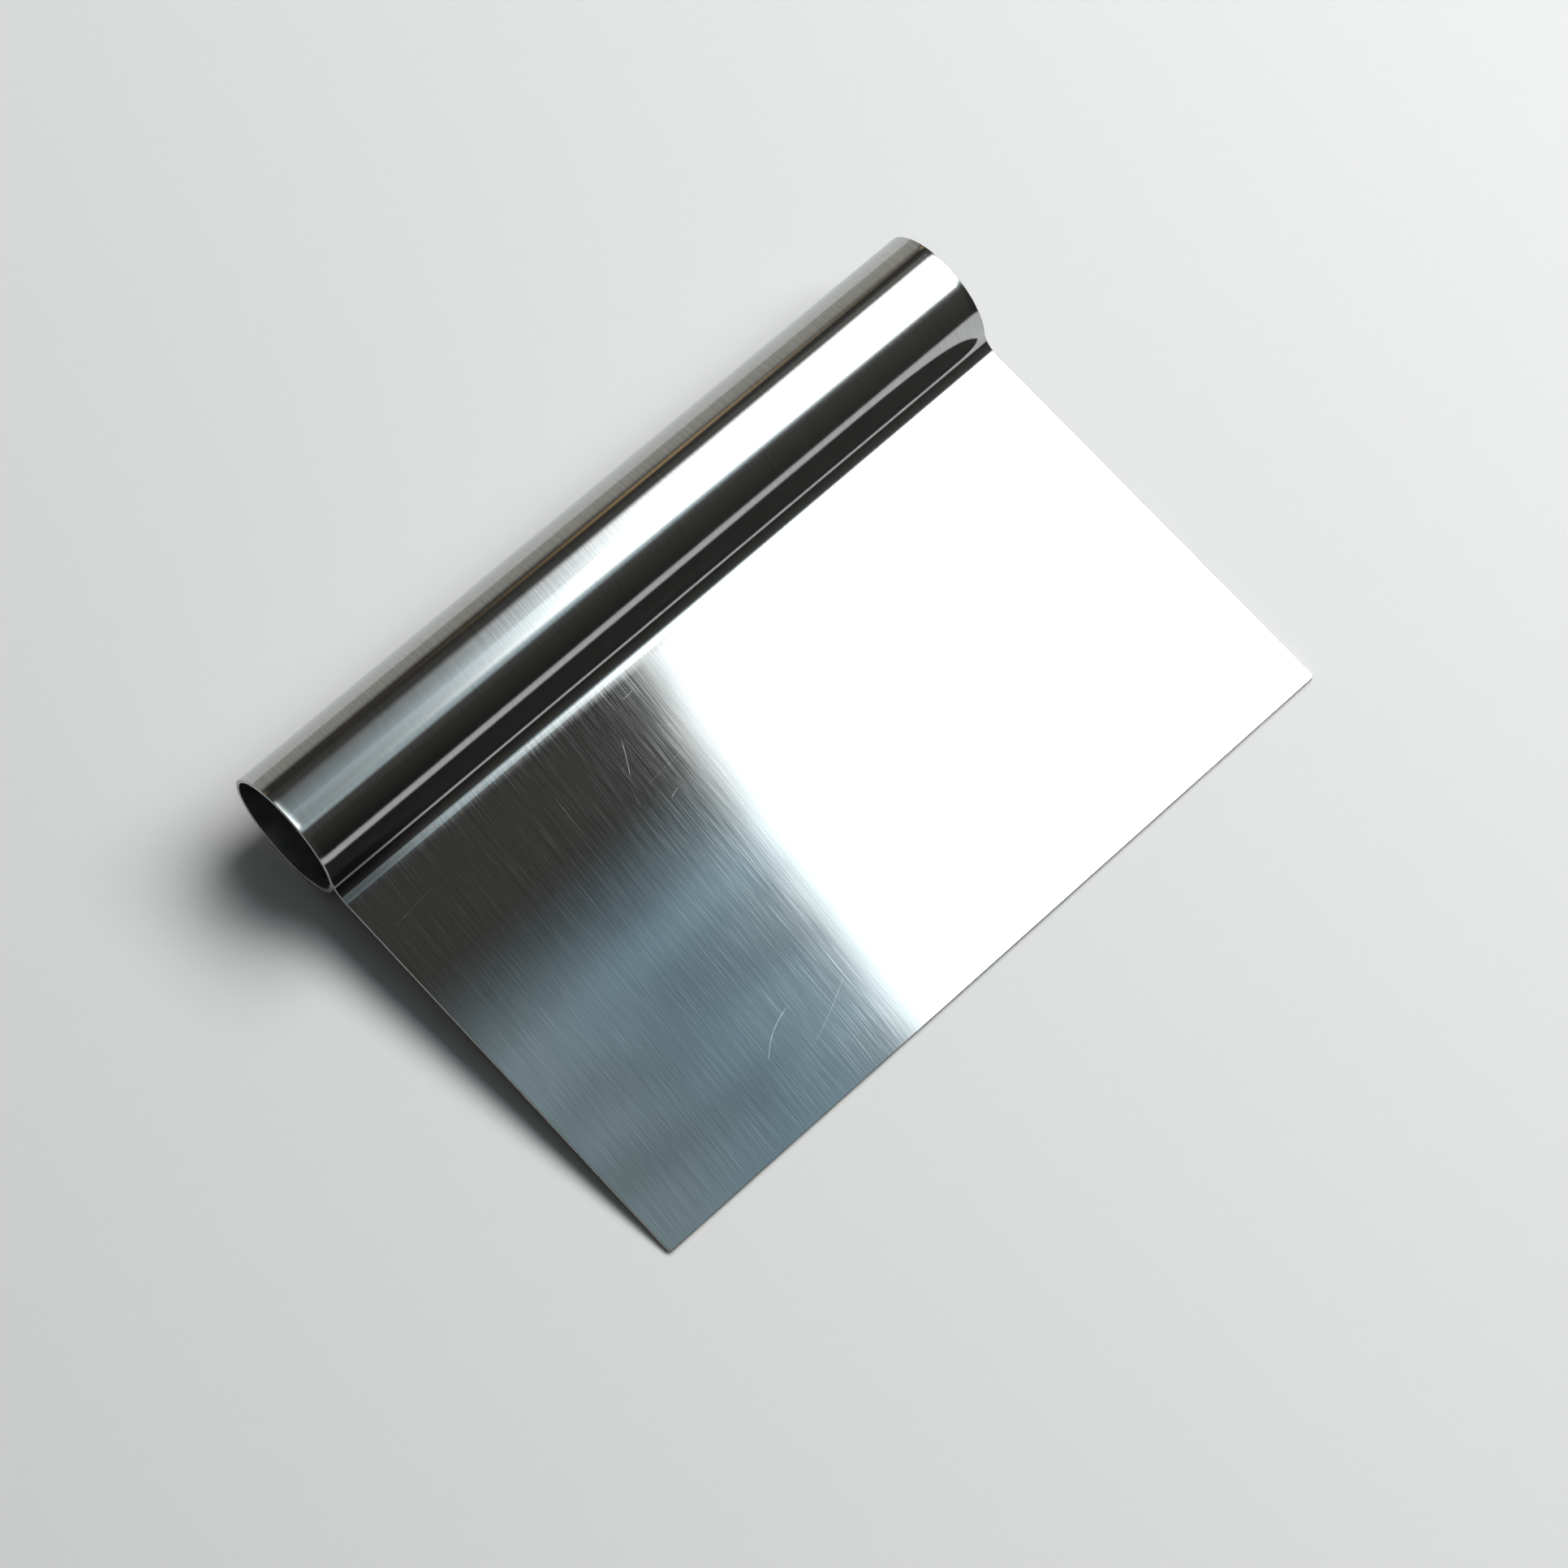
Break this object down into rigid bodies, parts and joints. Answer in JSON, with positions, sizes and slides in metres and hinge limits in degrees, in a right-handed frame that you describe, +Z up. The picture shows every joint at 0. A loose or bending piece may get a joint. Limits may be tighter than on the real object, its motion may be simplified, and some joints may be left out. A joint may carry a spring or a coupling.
{
  "type": "bench scraper",
  "caption": "Rectangular brushed stainless blade whose back edge bends up and rolls round into an open tubular handle.",
  "frame": {"origin": "middle of the footprint, on the surface that the scraper lies on", "axes": "+X along the handle, +Y from the cutting edge towards the handle, +Z up"},
  "size_m": [0.15, 0.1052, 0.024],
  "materials": {
    "brushed_sheet": "near-mirror steel with a fine brushed grain that runs from the cutting edge to the handle and on round the roll",
    "weld_bead": "dull weld bead, wire brushed"
  },
  "bodies": {
    "root": {"blade": "brushed_sheet", "rolled_handle": "brushed_sheet", "seam_tack_welds": "weld_bead"}
  },
  "joints": []
}
